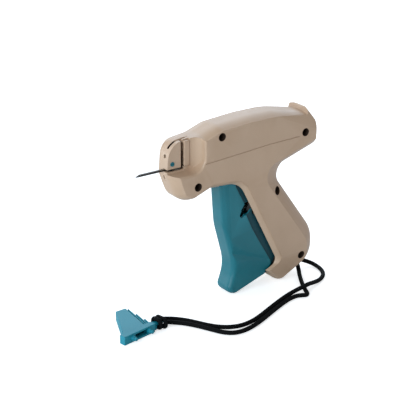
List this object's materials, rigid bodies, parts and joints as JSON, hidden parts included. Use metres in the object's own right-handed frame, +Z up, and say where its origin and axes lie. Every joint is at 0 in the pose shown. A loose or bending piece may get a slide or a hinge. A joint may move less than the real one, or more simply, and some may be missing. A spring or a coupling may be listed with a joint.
{
  "type": "garment tag attacher",
  "caption": "Pistol-grip tag attacher with a slotted needle, squeeze trigger, internal ram and feed wheel, and a needle guard on a cord.",
  "frame": {"origin": "middle of the length and width of the tool without its cord and needle guard, on the surface that the grip and the trigger stand on", "axes": "+Z up, needle along -X, +Y to the tool's right"},
  "size_m": [0.1773, 0.0721, 0.1254],
  "materials": {
    "housing": "satin moulded plastic",
    "teal": "satin moulded plastic",
    "nylon": "natural nylon",
    "lever": "stamped",
    "steel": "zinc plated",
    "needle": "polished steel",
    "cord": "braided"
  },
  "bodies": {
    "housing": {"left_housing": "housing", "right_housing": "housing", "housing_screws": "steel", "trigger_pin": "steel", "lever_pin": "steel", "slide_return_spring": "steel", "rod_bushing": "nylon", "needle": "needle", "needle_hub": "nylon", "cutter_blade": "steel", "feed_gate": "housing", "feed_axle": "steel", "detent_spring": "steel", "lanyard_bar": "steel", "cord_strand_a": "cord", "cord_strand_b": "cord", "cord_knot": "cord", "needle_cap": "teal"},
    "trigger": {"trigger": "teal"},
    "lever": {"drive_lever": "lever", "cam_rollers": "nylon", "cam_roller_pin": "steel", "link_pin": "steel"},
    "slide": {"ram_slide": "nylon", "ejector_rod": "steel"},
    "feed_wheel": {"feed_wheel": "nylon"},
    "feed_pawl": {"feed_pawl": "nylon"},
    "needle_lock": {"needle_lock": "teal"}
  },
  "joints": [
    {"name": "trigger_squeeze", "type": "hinge", "parent": "housing", "child": "trigger", "pos_m": [-0.00513, 0, 0.086], "axis": [0, -1, 0], "range_deg": [0, 17], "stiffness_Nm_per_rad": 1.2, "springref_deg": -8.59},
    {"name": "lever_swing", "type": "hinge", "parent": "housing", "child": "lever", "pos_m": [0.02687, 0, 0.066], "axis": [0, -1, 0], "range_deg": [0, 57.23]},
    {"name": "ram_travel", "type": "slide", "parent": "housing", "child": "slide", "axis": [-1, 0, 0], "range_m": [0, 0.03601], "deforming": ["slide_return_spring"]},
    {"name": "feed_wheel_turn", "type": "hinge", "parent": "housing", "child": "feed_wheel", "pos_m": [-0.03713, 0.0055, 0.099], "axis": [1, 0, 0], "continuous": true},
    {"name": "feed_pawl_slide", "type": "slide", "parent": "housing", "child": "feed_pawl", "axis": [0, 1, 0], "range_m": [0, 0.0024]},
    {"name": "needle_lock_turn", "type": "hinge", "parent": "housing", "child": "needle_lock", "pos_m": [-0.04473, -0.003, 0.1032], "axis": [0, 1, 0], "range_deg": [0, 90]}
  ],
  "couplings": [
    {"joint": "lever_swing", "follows": "trigger_squeeze", "ratio": 3.3659},
    {"joint": "ram_travel", "follows": "trigger_squeeze", "m_per_rad": 0.12133},
    {"joint": "feed_pawl_slide", "follows": "trigger_squeeze", "m_per_rad": 0.0080888}
  ]
}
